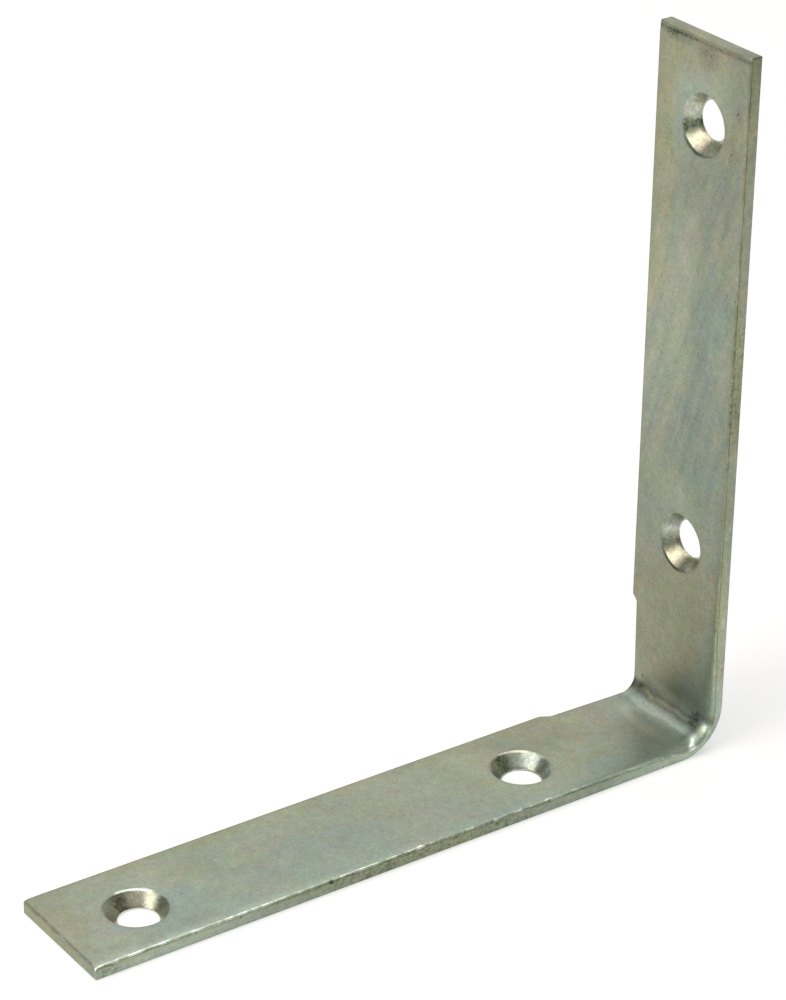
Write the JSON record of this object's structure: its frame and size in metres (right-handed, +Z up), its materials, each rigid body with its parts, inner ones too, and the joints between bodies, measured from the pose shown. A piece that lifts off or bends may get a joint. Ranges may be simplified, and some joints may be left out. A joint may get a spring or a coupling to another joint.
{
  "type": "corner brace bracket",
  "caption": "Zinc-plated steel strip folded square into an L, with countersunk screw holes along each leg, for bracing a timber corner.",
  "frame": {"origin": "under the middle of the base leg, on its mounting face", "axes": "+Z up the upright leg, +X out of the upright leg's mounting face, +Y along the fold towards the relieved edge"},
  "size_m": [0.0996, 0.018, 0.1006],
  "materials": {
    "zinc_plate": "satin zinc plate on steel strip, faintly mottled, bright where the edges and countersinks are burnished"
  },
  "bodies": {
    "root": {"corner_brace": "zinc_plate"}
  },
  "joints": []
}
